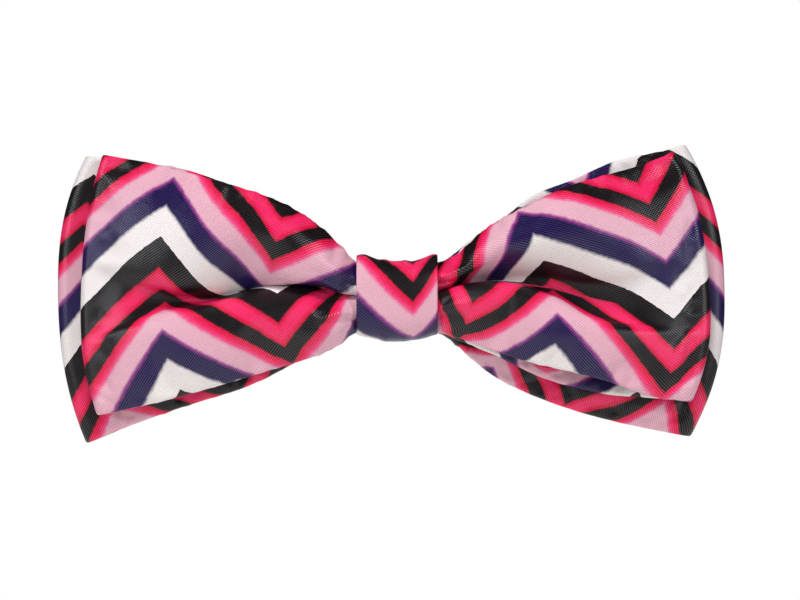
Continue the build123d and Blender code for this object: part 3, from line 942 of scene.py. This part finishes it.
def jaw_spring(side):
    """A jaw's torsion spring: a wire coiled round its hinge pin, with one leg towards the plate and one
    towards the lever, in place of the CAD spring.
    """
    low, high = (np.array(corner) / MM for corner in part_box(f"{side}_hinge_pin"))
    pin = (low + high) / 2
    first, last = math.radians(PLATE_LEG), math.radians(LEVER_LEG + 360 * COIL_TURNS)
    turn = np.linspace(first, last, COIL_POINTS)
    rise = (turn - turn.mean()) / (2 * math.pi) * COIL_PITCH
    coil = np.stack([COIL * np.cos(turn), COIL * np.sin(turn), rise], axis=1)
    legs = []
    for end, reach in ((coil[0] - coil[1], PLATE_LEG_LENGTH), (coil[-1] - coil[-2], LEVER_LEG_LENGTH)):
        steps = np.append(np.linspace(0, reach, LEG_POINTS)[1:-1], [reach - TIP_LENGTH, reach])
        legs.append(steps[:, None] * end / np.linalg.norm(end))
    path = np.concatenate([coil[0] + legs[0][::-1], coil, coil[-1] + legs[1]])
    hand = -1 if side == "left" else 1
    piece = wire(f"{side}_jaw_spring_wire", path * (hand, 1, 1) + pin, WIRE)
    reach = np.array([0, COIL - WIRE, 0])
    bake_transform(piece)
    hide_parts(f"{side}_jaw_spring")
    return piece


springs = [jaw_spring("left"), jaw_spring("right")]

# ================================================================ the bow's body, and the CAD parts that the cloth replaces

SOFT = [
    (front_strip, "front_bow_satin", "printed_satin"),
    (back_strip, "back_bow_satin", "printed_satin"),
    (knot, "knot_wrap", "printed_satin"),
    (front_stiffener, "front_bow_interlining", "interlining"),
    (back_stiffener, "back_bow_interlining", "interlining"),
    (knot_stiffener, "knot_interlining", "interlining"),
]
for piece, node, slot in SOFT:
    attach(piece, "bow")
    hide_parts(node)

# ================================================================ finishes of the threads and the clip

thread = thread_material("sewing_thread", dark="#16141a", light="#3a363f")
plate_steel = metal_material("clip_steel", "#c9c6c0", rough=0.26, grain=(60, 2500, 2500), scratch=0.25)
pin_steel = metal_material("pin_steel", "#b9b6b0", rough=0.22, grain=(2500, 2500, 60), scratch=0.2)
spring_steel = metal_material("spring_steel", "#8d8b88", rough=0.34, grain=(900, 900, 900), scratch=0.3)

for node in ("gather_thread", "front_bow_seam_stitches", "back_bow_seam_stitches", "knot_closing_stitches"):
    paint(node, thread)
for node in ("clip_base", "left_jaw", "right_jaw"):
    paint(node, plate_steel)
for node in ("left_hinge_pin", "right_hinge_pin"):
    paint(node, pin_steel)
for spring in springs:
    spring.data.materials.append(spring_steel)

# ================================================================ floor, lights and camera, in metres

FLOOR_RADIUS, FLOOR_HEIGHT, FLOOR_SIDES = 0.30, -0.070, 64
TOP, REAR = (-0.1, -0.46, 0.86), (0.1, 0.7, 0.4)  # where the lights are
LEFT, RIGHT = (-0.72, -0.62, 0.24), (0.72, -0.62, 0.24)
COOL = (0.90, 0.94, 1.0)  # colour of the lights at the sides
WORLD_LIGHT, WORLD_SEEN = 0.03, 1.0  # how bright the world is for the bow and for the camera
CAMERA_PLACE = (0.00054, -1.6, -0.00054)
LENS = 400  # in millimetres, for a sensor 36 mm wide


def area_light(name, place, size, power, colour=(1, 1, 1), shines=True):
    """A round soft light aimed at the origin; it shows in the cloth's gloss only if it shines."""
    light = bpy.data.lights.new(name, "AREA")
    light.shape = "DISK"
    light.size, light.energy, light.color = size, power, colour
    lamp = bpy.data.objects.new(name, light)
    lamp.location = place
    lamp.rotation_euler = direction([-p for p in place])
    lamp.visible_glossy = shines
    bpy.context.scene.collection.objects.link(lamp)


def direction(away):
    """The turn that points a light or a camera along away."""
    x, y, z = away
    flat = math.hypot(x, y)
    return (math.pi / 2 + math.atan2(z, flat), 0, math.atan2(-x, y))


def paper_floor():
    """A round sheet of paper below the bow, which is part of the stage."""
    turns = np.linspace(0, 2 * math.pi, FLOOR_SIDES, endpoint=False)
    rim = [(FLOOR_RADIUS * math.cos(a), FLOOR_RADIUS * math.sin(a), FLOOR_HEIGHT) for a in turns]
    mesh = bpy.data.meshes.new("floor")
    mesh.from_pydata(rim, [], [tuple(range(FLOOR_SIDES))])
    mesh.materials.append(Nodes("floor_paper").finish(Base_Color=linear("#f4f2ef"), Roughness=0.8))
    floor = bpy.data.objects.new("floor", mesh)
    bpy.context.scene.collection.objects.link(floor)


def studio_world():
    """A world that the camera sees as white, and that lights the bow only a little."""
    world = bpy.data.worlds.new("studio")
    world.use_nodes = True
    tree = world.node_tree
    tree.nodes.clear()
    rays = tree.nodes.new("ShaderNodeLightPath")
    choose = tree.nodes.new("ShaderNodeMixShader")
    tree.links.new(rays.outputs["Is Camera Ray"], choose.inputs[0])
    for socket, strength in ((1, WORLD_LIGHT), (2, WORLD_SEEN)):
        background = tree.nodes.new("ShaderNodeBackground")
        background.inputs["Color"].default_value = (1, 1, 1, 1)
        background.inputs["Strength"].default_value = strength
        tree.links.new(background.outputs[0], choose.inputs[socket])
    result = tree.nodes.new("ShaderNodeOutputWorld")
    tree.links.new(choose.outputs[0], result.inputs["Surface"])
    return world


def front_camera():
    """A long lens square to the bow's front."""
    data = bpy.data.cameras.new("camera")
    data.sensor_width = 36
    data.lens = LENS
    camera = bpy.data.objects.new("camera", data)
    camera.location = CAMERA_PLACE
    camera.rotation_euler = direction((0, 1, 0))
    bpy.context.scene.collection.objects.link(camera)
    return camera


paper_floor()
area_light("top", TOP, size=0.30, power=6.9, shines=False)
area_light("top_shine", TOP, size=0.30, power=1.2)
area_light("left", LEFT, size=0.36, power=3.8, colour=COOL)
area_light("right", RIGHT, size=0.36, power=3.8, colour=COOL)
area_light("rear", REAR, size=0.5, power=3.0, shines=False)
area_light("rear_shine", REAR, size=0.5, power=1.4)

scene = bpy.context.scene
scene.world = studio_world()
scene.view_settings.view_transform = "Standard"
scene.camera = front_camera()
